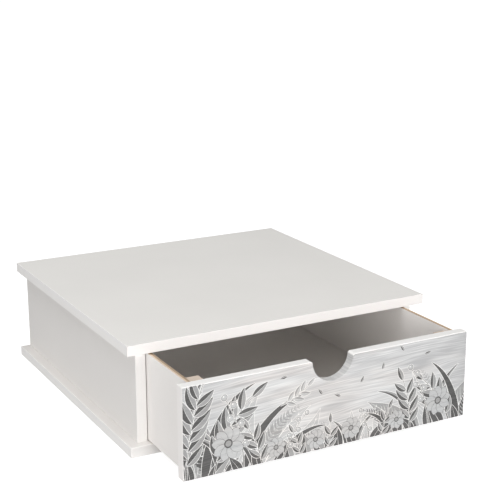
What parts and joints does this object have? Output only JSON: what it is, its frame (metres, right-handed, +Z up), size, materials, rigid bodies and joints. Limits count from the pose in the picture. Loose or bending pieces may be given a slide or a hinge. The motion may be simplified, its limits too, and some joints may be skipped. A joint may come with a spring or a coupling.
{
  "type": "coffee pod drawer stand",
  "caption": "Low white board stand with one pull-out drawer for coffee pods, overhanging top and base, thumb-notched printed drawer front.",
  "frame": {"origin": "centre of the base board's flat underside, on the surface that the stand rests on", "axes": "+Z up, -Y out of the front, the way the drawer pulls, +X to the right for someone facing the front"},
  "size_m": [0.3, 0.3685, 0.0995],
  "materials": {
    "white_board": "white-faced board, smooth satin, raw tan fibre where an edge is bare",
    "white_hardboard": "white-painted hardboard",
    "raw_board": "bare sawn board",
    "white_tape": "smooth satin edge strip",
    "print_film": "satin printed film, whitewashed wood grain with grey leaves",
    "beech": "plain beech dowel",
    "zinc_steel": "bright zinc plating",
    "nail_steel": "bare drawn steel"
  },
  "bodies": {
    "cabinet": {"top_panel": "white_board", "base_panel": "white_board", "left_side_panel": "white_board", "right_side_panel": "white_board", "back_panel": "white_hardboard", "top_front_edge_tape": "white_tape", "top_back_edge_tape": "white_tape", "top_left_edge_tape": "white_tape", "top_right_edge_tape": "white_tape", "base_front_edge_tape": "white_tape", "base_back_edge_tape": "white_tape", "base_left_edge_tape": "white_tape", "base_right_edge_tape": "white_tape", "left_side_front_edge_tape": "white_tape", "right_side_front_edge_tape": "white_tape", "top_dowels": "beech", "base_screws": "zinc_steel", "back_nails": "nail_steel"},
    "drawer": {"drawer_front": "white_board", "drawer_left_side": "white_board", "drawer_right_side": "white_board", "drawer_back": "white_board", "drawer_bottom": "white_board", "front_top_edge_tape": "white_tape", "front_bottom_edge_tape": "white_tape", "front_left_edge_tape": "white_tape", "front_right_edge_tape": "white_tape", "front_print_film": "print_film", "left_corner_block": "raw_board", "right_corner_block": "raw_board", "front_screws": "zinc_steel", "drawer_side_pins": "nail_steel", "drawer_bottom_pins": "nail_steel"}
  },
  "joints": [
    {"name": "drawer_slide", "type": "slide", "parent": "cabinet", "child": "drawer", "axis": [0, -1, 0], "range_m": [-0.0773, 0.13]}
  ]
}
